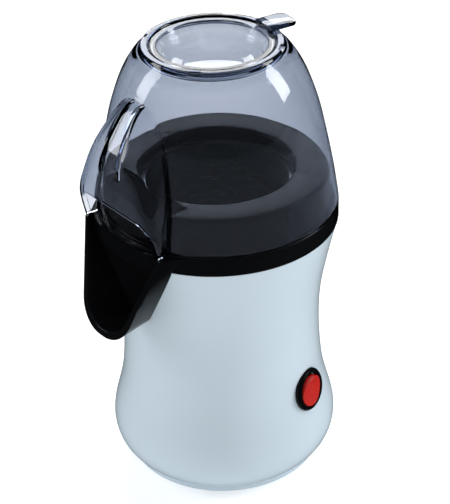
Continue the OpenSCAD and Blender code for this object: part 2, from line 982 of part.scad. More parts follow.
module hood_form(inset) {
    hull() {
        mouth_slab(mouth_half_w - inset, mouth_top_z - inset, inset > 0 ? 3 : 0);
        hood_ball(hood_shoulder, hood_shoulder_r, inset);
        hood_ball(hood_crown, hood_crown_r, inset);
        hood_root_slab(inset);
    }
}

module slot_cut(x, spread, low, high) {
    translate([x, 0, low])
        rotate([0, spread, 0])
            rotate([90, 0, 0])
                linear_extrude(height = 110)
                    hull() {
                        circle(r = 2.1, $fn = HULL);
                        translate([0, high - low])
                            circle(r = 1.6, $fn = HULL);
                    }
}

module smoked_cover() {
    color(SMOKE)
        difference() {
            union() {
                turned_solid(cover_line);
                hood_form(0);
                rod(rim_r, rim_z - 4, rim_z, ROUND);
            }
            difference() {
                turned_solid(shifted(cover_line, -cover_wall));
                rod(rim_r + 3, rim_z - 4.4, rim_z + 5, ROUND);
            }
            hood_form(hood_wall);
            rod(seat_r, seat_z, rim_z + 5, ROUND);
            rod(rim_inner_r, rim_z - 20, rim_z + 5, ROUND);
            for (side = [-1, 1])
                slot_cut(side * slot_x, side * slot_spread, slot_low_z, slot_high_z);
            around(notch_angles, rim_r)
                translate([-2.2, -4, rim_z - 1.6])
                    cube([6, 8, 5]);
            translate([-BIG / 2, -BIG / 2, cover_z - 50])
                cube([BIG, BIG, 50]);
        }
}

// Tab that bridges the rim, and the web that joins it to the cup's flange
module cup_tab() {
    difference() {
        union() {
            hull() {
                translate([-tab_half_w, cup_top_r, rim_z + 0.4])
                    cube([2 * tab_half_w, 1, tab_t]);
                for (side = [-1, 1])
                    translate([side * (tab_half_w - tab_corner_r), tab_reach - tab_corner_r, rim_z + 0.4])
                        cylinder(r = tab_corner_r, h = tab_t, $fn = HULL);
            }
            intersection() {
                translate([-tab_half_w, 30, seat_z + 1])
                    cube([2 * tab_half_w, 20, rim_z + 0.8 - seat_z - 1]);
                rod(cup_flange_r - 0.3, seat_z, rim_z + 3, ROUND);
            }
        }
        rod(cup_top_r + 0.3, seat_z - 1, rim_z + 10, ROUND);
    }
}

module measuring_cup() {
    low_z = seat_z + cup_flange_t - cup_depth;
    color(CLEAR) {
        rotate_extrude($fn = ROUND)
            polygon([
                [0, low_z], [20, low_z + 0.6], [27, low_z + 2.8], [31, low_z + 6.4], [34.4, seat_z - 4],
                [cup_top_r, seat_z], [cup_flange_r, seat_z], [cup_flange_r, seat_z + cup_flange_t],
                [cup_top_r - cup_wall, seat_z + cup_flange_t], [34.4 - cup_wall, seat_z - 4],
                [31 - cup_wall, low_z + 7.4], [26, low_z + 4.4], [19.6, low_z + 2.4], [0, low_z + cup_wall]
            ]);
        rotate([0, 0, tab_turn])
            cup_tab();
    }
}

outer_shell();
base_plate();
rubber_feet();
base_screws();
cord_gland();
deck();
chute();
popping_chamber();
chamber_seal();
chamber_screws();
air_jacket();
heater_duct();
mica_sleeve();
heater_former();
heater_coil();
thermostat();
thermal_fuse();
fan_housing();
housing_screws();
fan_impeller();
motor_shaft();
motor_armature();
motor_can();
motor_magnets();
motor_bushes();
motor_screws();
rectifier_board();
terminal_block();
switch_bezel();
switch_body();
switch_rocker();
rocker_pin();
internal_leads();
smoked_cover();
measuring_cup();
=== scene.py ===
"""Looks of an upright hot-air popcorn maker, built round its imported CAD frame."""
import json
import math

import bmesh
import bpy
import numpy as np
from mathutils import Matrix, Vector
from mathutils.bvhtree import BVHTree


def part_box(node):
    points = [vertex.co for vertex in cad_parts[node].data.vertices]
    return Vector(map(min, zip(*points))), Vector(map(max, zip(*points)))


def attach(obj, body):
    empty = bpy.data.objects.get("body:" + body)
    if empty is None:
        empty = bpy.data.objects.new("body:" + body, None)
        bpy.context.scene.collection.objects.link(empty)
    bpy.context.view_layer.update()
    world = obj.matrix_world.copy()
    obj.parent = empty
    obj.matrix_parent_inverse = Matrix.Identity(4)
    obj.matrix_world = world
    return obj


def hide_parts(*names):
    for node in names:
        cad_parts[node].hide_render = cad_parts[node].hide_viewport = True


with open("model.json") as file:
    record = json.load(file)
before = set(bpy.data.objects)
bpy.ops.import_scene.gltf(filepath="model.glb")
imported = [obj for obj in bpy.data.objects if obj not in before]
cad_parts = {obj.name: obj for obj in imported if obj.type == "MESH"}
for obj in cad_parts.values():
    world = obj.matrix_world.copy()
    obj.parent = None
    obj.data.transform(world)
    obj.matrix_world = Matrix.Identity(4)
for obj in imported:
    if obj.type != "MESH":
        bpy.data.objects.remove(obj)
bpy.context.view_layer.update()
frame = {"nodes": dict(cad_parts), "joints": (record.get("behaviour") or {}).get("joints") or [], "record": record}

record = frame["record"]
MM = 0.001
FINE_ROUND = 192


def node_box(node):
    """Lowest and highest corner of a CAD node, in millimetres."""
    low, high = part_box(node)
    return low / MM, high / MM


# ------------------------------------------------------------------ measures, in millimetres

COVER_LOW = node_box("smoked_cover")[0].z
RIM_TOP = node_box("smoked_cover")[1].z
COLLAR_R = node_box("deck")[1].x
DECK_TOP = node_box("deck")[1].z
SHELL_LOW = node_box("outer_shell")[0].z
SHELL_TOP = node_box("outer_shell")[1].z
CUP_LOW = node_box("measuring_cup")[0].z
TAB_TOP = node_box("measuring_cup")[1].z
CHUTE_TOP = node_box("chute")[1].z

SHELL_WALL = 2.2
COVER_WALL = 2.2
DECK_HOLE_R = 49.6
DRUM_LOW_R = 73.0
DRUM_HIGH_R = 71.4
RIM_R = 44.3
SEAT_R = 39.4
SEAT_Z = RIM_TOP - 3.0
RIM_INNER_R = 36.9
CUP_FLANGE_R = 39.0
CUP_TOP_R = 36.4
CUP_WALL = 1.8
CUP_SIDE_R = 34.4
CUP_BEND_R = 31
TAB_TURN = math.radians(-8)
TAB_HALF_W = 9.5
TAB_REACH = 57.0
NOTCH_ANGLES = [38, 128, 218, 308]


# ------------------------------------------------------------------ mesh helpers

def cubic(points, steps):
    """Catmull-Rom curve through points, with steps in each span."""
    p = np.array(points, float)
    n = len(p)
    found = []
    for i in range(n - 1):
        a, b, c, d = p[max(i - 1, 0)], p[i], p[i + 1], p[min(i + 2, n - 1)]
        for k in range(steps):
            t = k / steps
            found.append(0.5 * (2 * b + (c - a) * t + (2 * a - 5 * b + 4 * c - d) * t ** 2
                                + (3 * b - a - 3 * c + d) * t ** 3))
    found.append(p[-1])
    return np.array(found)


def curve_value(stations, z):
    """Value at z of a smooth curve through (z, value) stations."""
    line = cubic(stations, 12)
    return np.interp(z, line[:, 0], line[:, 1])


def rounded(corners, closed=True, steps=5):
    """Outline whose corners (a, b, radius) are replaced by arcs."""
    found = []
    n = len(corners)
    for i, (x, y, r) in enumerate(corners):
        here = np.array([x, y], float)
        if r <= 0 or (not closed and i in (0, n - 1)):
            found.append(here)
            continue
        before = np.array(corners[(i - 1) % n][:2], float) - here
        after = np.array(corners[(i + 1) % n][:2], float) - here
        lb, la = np.linalg.norm(before), np.linalg.norm(after)
        before, after = before / lb, after / la
        half = math.acos(max(-1.0, min(1.0, float(before @ after)))) / 2
        if half > math.pi / 2 - 0.02:
            found.append(here)
            continue
        reach = min(r / math.tan(half), 0.48 * lb, 0.48 * la)
        r = reach * math.tan(half)
        middle = here + (before + after) / np.linalg.norm(before + after) * r / math.sin(half)
        start = here + before * reach - middle
        end = here + after * reach - middle
        turn = math.atan2(start[0] * end[1] - start[1] * end[0], float(start @ end))
        for k in range(steps + 1):
            a = turn * k / steps
            c, s = math.cos(a), math.sin(a)
            found.append(middle + np.array([c * start[0] - s * start[1], s * start[0] + c * start[1]]))
    return found


def mesh_object(name, verts, faces):
    """Object made of points in millimetres and faces."""
    mesh = bpy.data.meshes.new(name)
    mesh.from_pydata([tuple(float(c) * MM for c in v) for v in verts], [], faces)
    bm = bmesh.new()
    bm.from_mesh(mesh)
    bmesh.ops.remove_doubles(bm, verts=bm.verts, dist=1e-7)
    bmesh.ops.dissolve_degenerate(bm, edges=bm.edges, dist=1e-8)
    bmesh.ops.recalc_face_normals(bm, faces=bm.faces)
    bm.to_mesh(mesh)
    bm.free()
    obj = bpy.data.objects.new(name, mesh)
    bpy.context.scene.collection.objects.link(obj)
    return obj


def grid_object(name, rows, wrap_rows=True):
    """Closed surface through rows of points; each row is a ring, and so are the rows or two flat ends."""
    rows = np.asarray(rows, float)
    nr, nc = rows.shape[:2]
    faces = []
    for i in range(nr if wrap_rows else nr - 1):
        for j in range(nc):
            i2, j2 = (i + 1) % nr, (j + 1) % nc
            faces.append((i * nc + j, i * nc + j2, i2 * nc + j2, i2 * nc + j))
    verts = rows.reshape(-1, 3)
    if not wrap_rows:
        faces.append(tuple(range(nc)))
        faces.append(tuple(range((nr - 1) * nc, nr * nc))[::-1])
    return mesh_object(name, verts, faces)


def lathe(name, profile, segments):
    """Solid turned about Z from a closed outline of (radius, height)."""
    p = np.array(profile, float)
    a = np.linspace(0, 2 * math.pi, segments, endpoint=False)
    rows = np.stack([p[:, :1] * np.cos(a), p[:, :1] * np.sin(a), p[:, 1:] + 0 * a], axis=-1)
    return grid_object(name, rows)


def prism(name, outline, low, high, axis="Z"):
    """Straight solid of an outline, from low to high along an axis; along X the outline is (y, z)."""
    rows = []
    for h in (low, high):
        if axis == "Z":
            rows.append([(x, y, h) for x, y in outline])
        else:
            rows.append([(h, x, y) for x, y in outline])
    return grid_object(name, rows, wrap_rows=False)


def placed(obj, matrix):
    """Moves an object's mesh by a matrix whose translation is in millimetres."""
    m = matrix.copy()
    m.translation = m.translation * MM
    obj.data.transform(m)
    return obj


def combine(obj, other, how="DIFFERENCE"):
    """Applies a boolean of obj with other, and takes other away."""
    modifier = obj.modifiers.new("combine", "BOOLEAN")
    modifier.operation = how
    modifier.object = other
    modifier.solver = "MANIFOLD"
    graph = bpy.context.evaluated_depsgraph_get()
    made = bpy.data.meshes.new_from_object(obj.evaluated_get(graph))
    obj.modifiers.clear()
    obj.data = made
    bpy.data.objects.remove(other)
    return obj


def joined(name, parts):
    """One object of several separate closed solids."""
    bm = bmesh.new()
    for p in parts:
        bm.from_mesh(p.data)
    mesh = bpy.data.meshes.new(name)
    bm.to_mesh(mesh)
    bm.free()
    for p in parts:
        bpy.data.objects.remove(p)
    obj = bpy.data.objects.new(name, mesh)
    bpy.context.scene.collection.objects.link(obj)
    return obj


def finish_piece(obj, name, material, body, nodes, sharp=35):
    """Names a piece, shades it, and fixes it to its CAD body."""
    obj.name = name
    obj.data.name = name
    obj.data.materials.clear()
    for m in material if isinstance(material, list) else [material]:
        obj.data.materials.append(m)
    obj.data.shade_smooth()
    obj.data.set_sharp_from_angle(angle=math.radians(sharp))
    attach(obj, body)
    if nodes:
        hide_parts(*nodes)
    return obj


def outline_radii(node, heights, azimuth):
    """Outer radius of a CAD node at some heights, in millimetres, in one direction."""
    mesh = frame["nodes"][node].data
    tree = BVHTree.FromPolygons([v.co for v in mesh.vertices], [p.vertices for p in mesh.polygons])
    a = math.radians(azimuth)
    out = Vector((math.cos(a), math.sin(a), 0))
    found = []
    for z in heights:
        hit = tree.ray_cast(out + Vector((0, 0, z * MM)), -out)[0]
        found.append((hit - Vector((0, 0, z * MM))).length / MM)
    return np.array(found)


def smoothed(values, passes=2):
    """Softens a row of values and keeps its ends."""
    v = np.array(values, float)
    for _ in range(passes):
        v[1:-1] = 0.25 * v[:-2] + 0.5 * v[1:-1] + 0.25 * v[2:]
    return v


# ------------------------------------------------------------------ materials

ACRYLIC_IOR = 1.49


def material(name, colour, roughness, **more):
    """New Principled material and its node tree's parts."""
    m = bpy.data.materials.new(name)
    m.use_nodes = True
    shader = m.node_tree.nodes["Principled BSDF"]
    shader.inputs["Base Color"].default_value = (*colour, 1)
    shader.inputs["Roughness"].default_value = roughness
    for key, value in more.items():
        shader.inputs[key.replace("_", " ")].default_value = value
    return m, m.node_tree, shader


def noise(tree, scale, detail=3.0, stretch=(1, 1, 1)):
    """Noise node on object coordinates; returns its factor socket."""
    place = tree.nodes.new("ShaderNodeTexCoord")
    mapping = tree.nodes.new("ShaderNodeMapping")
    mapping.inputs["Scale"].default_value = stretch
    texture = tree.nodes.new("ShaderNodeTexNoise")
    texture.inputs["Scale"].default_value = scale
    texture.inputs["Detail"].default_value = detail
    tree.links.new(place.outputs["Object"], mapping.inputs["Vector"])
    tree.links.new(mapping.outputs["Vector"], texture.inputs["Vector"])
    return texture.outputs["Fac"]


def to_range(tree, source, low, high, start=0.3, end=0.7):
    """Maps a factor to a range of values."""
    node = tree.nodes.new("ShaderNodeMapRange")
    for key, value in (("From Min", start), ("From Max", end), ("To Min", low), ("To Max", high)):
        node.inputs[key].default_value = value
    tree.links.new(source, node.inputs["Value"])
    return node.outputs["Result"]


def to_colours(tree, source, dark, light, start=0.35, end=0.65):
    """Maps a factor to a blend of two colours."""
    ramp = tree.nodes.new("ShaderNodeValToRGB")
    ramp.color_ramp.elements[0].position = start
    ramp.color_ramp.elements[1].position = end
    ramp.color_ramp.elements[0].color = (*dark, 1)
    ramp.color_ramp.elements[1].color = (*light, 1)
    tree.links.new(source, ramp.inputs["Fac"])
    return ramp.outputs["Color"]


def bump(tree, shader, source, strength, distance):
    """Bump from a factor."""
    node = tree.nodes.new("ShaderNodeBump")
    node.inputs["Strength"].default_value = strength
    node.inputs["Distance"].default_value = distance
    tree.links.new(source, node.inputs["Height"])
    tree.links.new(node.outputs["Normal"], shader.inputs["Normal"])


def shade(colour, factor):
    """Lighter or darker colour."""
    return tuple(min(1.0, c * factor) for c in colour)


def moulded(name, colour, roughness, spread, grain=900, depth=0.00004, **more):
    """Moulded plastic: a slight unevenness of colour and gloss, and a fine grain."""
    m, tree, shader = material(name, colour, roughness, **more)
    broad = noise(tree, 14, 2)
    tree.links.new(to_colours(tree, broad, shade(colour, 1 - spread), shade(colour, 1 + spread)),
                   shader.inputs["Base Color"])
    tree.links.new(to_range(tree, noise(tree, 45, 4), roughness * 0.8, roughness * 1.25),
                   shader.inputs["Roughness"])
    bump(tree, shader, noise(tree, grain, 2), 0.12, depth)
    return m


def metal(name, colour, roughness, stretch=(1, 1, 1), scale=60, **more):
    """Plain metal with fine drawn lines along one direction."""
    m, tree, shader = material(name, colour, roughness, Metallic=1.0, **more)
    lines = noise(tree, scale, 4, stretch)
    tree.links.new(to_colours(tree, lines, shade(colour, 0.85), shade(colour, 1.1)),
                   shader.inputs["Base Color"])
    tree.links.new(to_range(tree, lines, roughness * 0.7, roughness * 1.3), shader.inputs["Roughness"])
    bump(tree, shader, lines, 0.15, 0.00005)
    return m


def smoked(name, colour, density):
    """Clear tinted plastic: a smooth dielectric that darkens light with its thickness."""
    m, tree, shader = material(name, (1, 1, 1), 0.0, IOR=ACRYLIC_IOR, Transmission_Weight=1.0)
    tree.links.new(to_range(tree, noise(tree, 30, 3), 0.0, 0.02), shader.inputs["Roughness"])
    inside = tree.nodes.new("ShaderNodeVolumeAbsorption")
    inside.inputs["Color"].default_value = (*colour, 1)
    inside.inputs["Density"].default_value = density
    tree.links.new(inside.outputs["Volume"], tree.nodes["Material Output"].inputs["Volume"])
    return m


WHITE = moulded("white_plastic", (0.65, 0.76, 0.84), 0.16, 0.012, Coat_Weight=0.3, Coat_Roughness=0.05)
BLACK = moulded("black_plastic", (0.0035, 0.0038, 0.0045), 0.22, 0.2, Specular_IOR_Level=0.1)
RED = moulded("red_plastic", (0.62, 0.02, 0.014), 0.25, 0.08, Coat_Weight=0.4)
RUBBER = moulded("rubber", (0.02, 0.02, 0.02), 0.7, 0.2, grain=2500, depth=0.0001)
NYLON = moulded("nylon", (0.70, 0.66, 0.55), 0.5, 0.04)
MICA = moulded("mica", (0.50, 0.44, 0.33), 0.45, 0.12, grain=300)
MAGNET = moulded("magnet", (0.06, 0.06, 0.065), 0.6, 0.15)
GREEN = moulded("circuit_board", (0.03, 0.18, 0.08), 0.35, 0.1)
LEAD = moulded("lead_insulation", (0.75, 0.75, 0.72), 0.6, 0.04, grain=3000, depth=0.0002)
STEEL = metal("steel", (0.56, 0.57, 0.58), 0.32, (1, 1, 12))
CHAMBER = metal("aluminium", (0.30, 0.31, 0.32), 0.36, (1, 1, 40))
BRASS = metal("brass", (0.72, 0.52, 0.22), 0.35)
WIRE = metal("heater_wire", (0.33, 0.30, 0.28), 0.5)
SMOKED = smoked("smoked_plastic", (0.20, 0.29, 0.45), 300)
CLEAR = smoked("clear_plastic", (0.24, 0.32, 0.45), 270)

NODE_MATERIALS = {
    "white_plastic": WHITE, "black_plastic": BLACK, "smoked_plastic": SMOKED, "clear_plastic": CLEAR,
    "red_plastic": RED, "rubber": RUBBER, "steel": STEEL, "aluminium": CHAMBER, "brass": BRASS,
    "mica": MICA, "heater_wire": WIRE, "nylon": NYLON, "magnet": MAGNET, "circuit_board": GREEN,
    "lead_insulation": LEAD,
}
for part in record["subparts"]:
    node = frame["nodes"][part["node"]]
    node.data.materials.clear()
    node.data.materials.append(NODE_MATERIALS[part["material_slot"]])


# ------------------------------------------------------------------ housing and base

def shell_outline():
    """Radii of the housing's outside, from the foot up, and their heights."""
    heights = np.linspace(SHELL_LOW + 0.4, SHELL_TOP - 0.4, 60)
    return smoothed(outline_radii("outer_shell", heights, 135)), heights


def make_housing():
    """Waisted housing, turned from the outline of its CAD node."""
    radii, heights = shell_outline()
    outer = [(r, z, 0) for r, z in zip(radii, heights)]
    inner = [(r - SHELL_WALL, z, 0) for r, z in zip(radii[::-2], heights[::-2])]
    low_r, high_r = radii[0] - 0.35, radii[-1] + 0.1
    profile = rounded(
        [(low_r - 0.5, SHELL_LOW, 0.5), (low_r, SHELL_LOW, 0.6)] + outer
        + [(high_r, SHELL_TOP, 0.5), (high_r - SHELL_WALL, SHELL_TOP, 0.5)] + inner
        + [(low_r - SHELL_WALL, SHELL_LOW, 0.3)]
    )
    return lathe("housing", profile, FINE_ROUND)


SWITCH_LEAN = math.radians(9.5)
PIN_DEPTH = 3.5
BEZEL_R = 14.5
BEZEL_HOLE_R = 11.3
BEZEL_SEAT = -1.2
BEZEL_TOP = 2.4
SWITCH_HOLE_R = 10.8
GLAND_HOLE_R = 6.05


def switch_place():
    """Matrix of the switch: local Z leaves the housing, local Y is the rocker's axis."""
    joint = next(j for j in frame["joints"] if j["name"] == "switch_rock")
    axis = Vector(joint["axis"]).normalized()
    flat = axis.cross(Vector((0, 0, 1)))
    out = flat * math.cos(SWITCH_LEAN) + Vector((0, 0, 1)) * math.sin(SWITCH_LEAN)
    side = axis.cross(out)
    m = Matrix((side, axis, out)).transposed().to_4x4()
    m.translation = Vector(joint["pos_m"]) / MM + out * PIN_DEPTH
    return m


SWITCH = switch_place()
GLAND = next(m for m in record["mounts"] if m["name"] == "cord_inlet")["pos_m"]


def drum(r, low, high, steps=96):
    """Plain cylinder along local Z, to cut or keep with."""
    return lathe("cutter", [(0, low), (r, low), (r, high), (0, high)], steps)


def gland_matrix():
    """Matrix of the cord bush: local Z goes out through the housing's back."""
    m = Matrix.Rotation(-math.pi / 2, 4, "X")
    m.translation = Vector((0, GLAND[1] / MM, GLAND[2] / MM))
    return m


housing = make_housing()
combine(housing, placed(drum(SWITCH_HOLE_R, -12, 8), SWITCH))
combine(housing, placed(drum(BEZEL_R + 0.1, BEZEL_SEAT, 8), SWITCH))
combine(housing, placed(drum(GLAND_HOLE_R, -12, 12), gland_matrix()))
finish_piece(housing, "housing", WHITE, "base", ["outer_shell"])


FEET_RING = 54
# Holes of the base plate: their angles, the radius of their ring, and their own radius
BASE_HOLES = [([30, 150, 270], 56, 3.6), ([90, 210, 330], 36, 3.6), ([45, 135, 225, 315], FEET_RING, 7.0)]
INLETS = 24


def make_base():
    """Base band and floor plate, with a star of air inlets, screw recesses and seats for the feet."""
    low, high = node_box("base_plate")
    r = high.x
    profile = rounded([
        (0, 3.0, 0), (r - 3.4, 3.0, 0.4), (r - 3.4, low.z, 0.5), (r, low.z, 0.9), (r, 5.45, 0.5),
        (r - 2.7, 5.45, 0.2), (r - 2.7, high.z - 1, 0.3), (r - 4.5, high.z - 1, 0.3), (r - 4.5, 5.5, 0.3),
        (0, 5.5, 0),
    ])
    plate = lathe("base_band", profile, FINE_ROUND)
    cutters = []
    for i in range(INLETS):
        reach = 30 if i % 8 in (5, 6) else 43 - (i % 2) * 10
        slot = [(14, 1.5), (reach, 1.5), (reach, -1.5), (14, -1.5)]
        cutter = prism("cutter", rounded([(x, y, 1.4) for x, y in slot]), -1, 10)
        cutters.append(placed(cutter, Matrix.Rotation(math.radians((i + 0.5) * 360 / INLETS), 4, "Z")))
    for angles, ring, r_hole in BASE_HOLES:
        for a in angles:
            a = math.radians(a)
            hole = drum(r_hole, 0, 5.0, 48)
            cutters.append(placed(hole, Matrix.Translation((ring * math.cos(a), ring * math.sin(a), 0))))
    return combine(plate, joined("cutters", cutters))


finish_piece(make_base(), "base_band", WHITE, "base", ["base_plate"])


def make_feet():
    """Four rubber feet, each with a recess for its screw."""
    feet = []
    for i in range(4):
        a = math.radians(45 + 90 * i)
        foot = lathe("foot", rounded([
            (0, 0.6, 0), (3.6, 0.6, 0.4), (4.2, 0, 0.3), (7, 0, 0.7), (7, 3.5, 0.3), (0, 3.5, 0),
        ]), 48)
        feet.append(placed(foot, Matrix.Translation((FEET_RING * math.cos(a), FEET_RING * math.sin(a), 0))))
    return joined("feet", feet)


finish_piece(make_feet(), "feet", RUBBER, "base", ["rubber_feet"])


def make_gland():
    """Ribbed bush through which the cord would enter."""
    ribs = []
    for i in range(3):
        z = 2.0 + i * 1.6
        ribs += [(6.0, z - 0.4, 0.2), (7.2, z, 0.4), (7.2, z + 0.7, 0.4), (6.0, z + 1.0, 0.2)]
    profile = rounded(
        [(3.6, -10, 0.4), (8.0, -10, 0.5), (8.0, -4.6, 0.5), (6.0, -4.6, 0.2)] + ribs
        + [(6.0, 7.4, 0.2), (7.2, 7.6, 0.5), (7.2, 10, 1.0), (3.6, 10, 0.8)]
    )
    return placed(lathe("cord_bush", profile, 64), gland_matrix())


finish_piece(make_gland(), "cord_bush", RUBBER, "base", ["cord_gland"])


# ------------------------------------------------------------------ deck and chute

CHANNEL_HALF_W = 33
DECK_WALL = 2.4
SPIGOT_R = 73.0
SKIRT_LOW = 206.5
CHANNEL_IN = (-48, 211.5)
CHANNEL_OUT_Z = 191
CHANNEL_SLOPE = (CHANNEL_IN[1] - CHANNEL_OUT_Z) / (COLLAR_R + CHANNEL_IN[0])


def channel(half_w, drop, height):
    """Solid above the ramp of the channel."""
    y_in, z_in = CHANNEL_IN
    y_out = -COLLAR_R - 4
    z_out = z_in - CHANNEL_SLOPE * (y_in - y_out)
    outline = [(y_in, z_in - drop), (y_out, z_out - drop), (y_out, z_out - drop + height),
               (y_in, z_in - drop + height)]
    return prism("channel", outline, -half_w, half_w, "X")


def make_deck():
    """Collar, drum and deck in one turned piece, with the channel cut through its front."""
    wall = DECK_WALL
    spigot_low = node_box("deck")[0].z
    profile = rounded([
        (SPIGOT_R - wall, spigot_low, 0.6), (SPIGOT_R, spigot_low, 0.6), (SPIGOT_R, SHELL_TOP, 0.2),
        (COLLAR_R, SHELL_TOP, 0.9), (COLLAR_R, COVER_LOW, 1.0), (DRUM_LOW_R, COVER_LOW, 0.6),
        (DRUM_HIGH_R, DECK_TOP, 2.6), (DECK_HOLE_R, DECK_TOP, 2.4), (DECK_HOLE_R, SKIRT_LOW, 0.5),
        (DECK_HOLE_R + 2, SKIRT_LOW, 0.5), (DECK_HOLE_R + 2, DECK_TOP - wall, 0.6),
        (DRUM_HIGH_R - wall, DECK_TOP - wall, 2), (DRUM_LOW_R - wall, COVER_LOW - 4, 2),
    ], steps=6)
    deck = lathe("deck_plate", profile, FINE_ROUND)
    trough = channel(CHANNEL_HALF_W + 2, 2, 20)
    combine(trough, drum(DRUM_HIGH_R - 1, 180, DECK_TOP - 0.4, FINE_ROUND), "INTERSECT")
    combine(trough, drum(DECK_HOLE_R, 170, 230, FINE_ROUND))
    combine(deck, trough, "UNION")
    combine(deck, channel(CHANNEL_HALF_W, 0, 60))
    return deck


finish_piece(make_deck(), "deck_plate", BLACK, "base", ["deck"])

LIP_TOP = (-77, 190.5)
LIP_LOW_Z = 126.7
LIP_LEAN = math.radians(17.2)
LIP_LEN = (LIP_TOP[1] - LIP_LOW_Z) / math.cos(LIP_LEAN)
LIP_HALF_W = 38.4
LIP_WALL = 2.2
LIP_KEEL = 4.6
BACK_Y = -60
BACK_LOW_Z = 125.5
BACK_HALF_W = 49.7
BACK_KEEL = 3
# Outlines of the scoop: half width, depth, taper of the sides, radius of the bottom's corners
LIP_OUTER = (LIP_HALF_W, LIP_LEN, 0.27, 24)
LIP_INNER = (LIP_HALF_W - LIP_WALL, LIP_LEN - LIP_KEEL, 0.36, 22)
BACK_OUTER = (BACK_HALF_W, CHUTE_TOP - BACK_LOW_Z, 0.66, 11)
BACK_INNER = (BACK_HALF_W - LIP_WALL, CHUTE_TOP - BACK_LOW_Z - BACK_KEEL, 0.66, 11 - LIP_WALL)


def v_outline(half_w, depth, taper, r, rise=0, inset=0):
    """Rounded V of (x, distance below its top), from the right side to the left one."""
    half_w, depth, r = half_w - inset, depth - inset, r - inset
    middle = max(half_w - taper * (depth - r) - r * math.hypot(1, taper), 0)
    lean = math.atan(taper)
    arc = [(middle + r * math.cos(a), depth - r + r * math.sin(a))
           for a in np.linspace(lean, math.pi / 2, 20)]
    side = [(half_w + (arc[0][0] - half_w) * t, arc[0][1] * t) for t in np.linspace(0, 1, 14)[:-1]]
    half = [(half_w + 0.1 * rise, -rise)] + side + arc
    return half + [(-x, d) for x, d in half[::-1]]


def lip_ring(shape, forward=0.0, inset=0.0, rise=0.0):
    """Outline in the leaning plane of the scoop's lip."""
    c, s = math.cos(LIP_LEAN), math.sin(LIP_LEAN)
    return [(x, LIP_TOP[0] - d * s - forward * c, LIP_TOP[1] - d * c + forward * s)
            for x, d in v_outline(*shape, rise, inset)]


def back_ring(shape, rise=0.0):
    """Outline in the upright plane inside the housing, where the scoop ends."""
    return [(x, BACK_Y, CHUTE_TOP - d) for x, d in v_outline(*shape, rise)]


def loft(rings, steps=10):
    """Rings, with more of them between the first two."""
    first, second = np.array(rings[0]), np.array(rings[1])
    return [first + (second - first) * t for t in np.linspace(0, 1, steps)] + rings[2:]


def backing(grow, top):
    """Solid of the housing and collar, grown outwards."""
    radii, heights = shell_outline()
    line = [(0, SHELL_LOW)] + [(r + grow, z) for r, z in zip(radii, heights)]
    line += [(COLLAR_R + grow, SHELL_TOP), (COLLAR_R + grow, top), (0, top)]
    return lathe("backing", line, FINE_ROUND)


def make_chute():
    """Scoop on the housing's front, open at its top and front."""
    body = grid_object("scoop", loft([
        back_ring(BACK_OUTER), lip_ring(LIP_OUTER, -0.7), lip_ring(LIP_OUTER, -0.2, 0.2),
        lip_ring(LIP_OUTER, 0, 0.7),
    ]), wrap_rows=False)
    hollow = grid_object("hollow", loft([
        back_ring(BACK_INNER, 8), lip_ring(LIP_INNER, -0.7, 0, 8), lip_ring(LIP_INNER, -0.2, -0.2, 8),
        lip_ring(LIP_INNER, 0, -0.7, 8), lip_ring(LIP_INNER, 2, -0.7, 8),
    ]), wrap_rows=False)
    combine(hollow, backing(LIP_WALL, CHANNEL_OUT_Z - 0.2))
    combine(body, hollow)
    combine(body, backing(0.12, 230))
    combine(body, prism("top", [(-200, -200), (200, -200), (200, 200), (-200, 200)], CHUTE_TOP, 260))
    return body


finish_piece(make_chute(), "chute_scoop", BLACK, "base", ["chute"])


# ------------------------------------------------------------------ cover with its hood

ROOT_Y = 30.0
MOUTH_Y = 77.5
MOUTH_LEAN = math.tan(math.radians(12))
MOUTH_TOP = 215.5
# Hood's front distance from the axis, its half width, and how boxy its plan is, all by height
HOOD_FRONT = [(192, 77.5), (204, 80.1), (215.5, 82.3), (228, 83.2), (241, 82.4), (248, 80.4), (256, 76.2),
              (265, 71.0), (272.5, 66.2), (277, 61.6), (279.5, 55)]
HOOD_HALF_W = [(192, 38.5), (204, 38.5), (215.5, 37.9), (228, 36.2), (241, 34), (254, 30.8), (265, 26.4),
               (272.5, 21.6), (277, 16.5), (279.5, 11)]
HOOD_BOXY = [(192, 34), (206, 30), (215.5, 16), (226, 8), (241, 4.6), (256, 3.6), (268, 3), (280, 2.6)]
HOOD_TOP = 279.5
CREASE = 1.0
RIM_Z = 294
MOUTH_HALF_W = 36.3
MOUTH_R = 12
MOUTH_CUT = (4, -12)
RIM, OUTSIDE, INSIDE = 0, 1, 2


def hood_reach(phi, z, inset):
    """How far from the axis the hood's wall is, at an angle from -Y and a height."""
    lift = inset * np.clip((z - 250) / 25, 0, 1)
    front = curve_value(HOOD_FRONT, z + lift) - inset
    half_w = curve_value(HOOD_HALF_W, z + lift) - inset
    boxy = curve_value(HOOD_BOXY, z)
    low, high = np.zeros_like(phi + z), np.full_like(phi + z, 140.0)
    for _ in range(40):
        t = (low + high) / 2
        v = np.clip((t * np.cos(phi) - ROOT_Y) / (front - ROOT_Y), 0, None)
        across = np.abs(t * np.sin(phi)) / (half_w * (0.86 + 0.14 * np.minimum(v, 1)))
        inside = across ** boxy + v ** boxy < 1
        low, high = np.where(inside, t, low), np.where(inside, high, t)
    return np.where((np.cos(phi) > 0.1) & (z + lift < HOOD_TOP), low, 0)


def blend_max(a, b, k):
    """Larger of two radii, with a rounded crease where they meet."""
    h = np.clip(0.5 + 0.5 * (a - b) / k, 0, 1)
    return b + (a - b) * h + k * h * (1 - h)


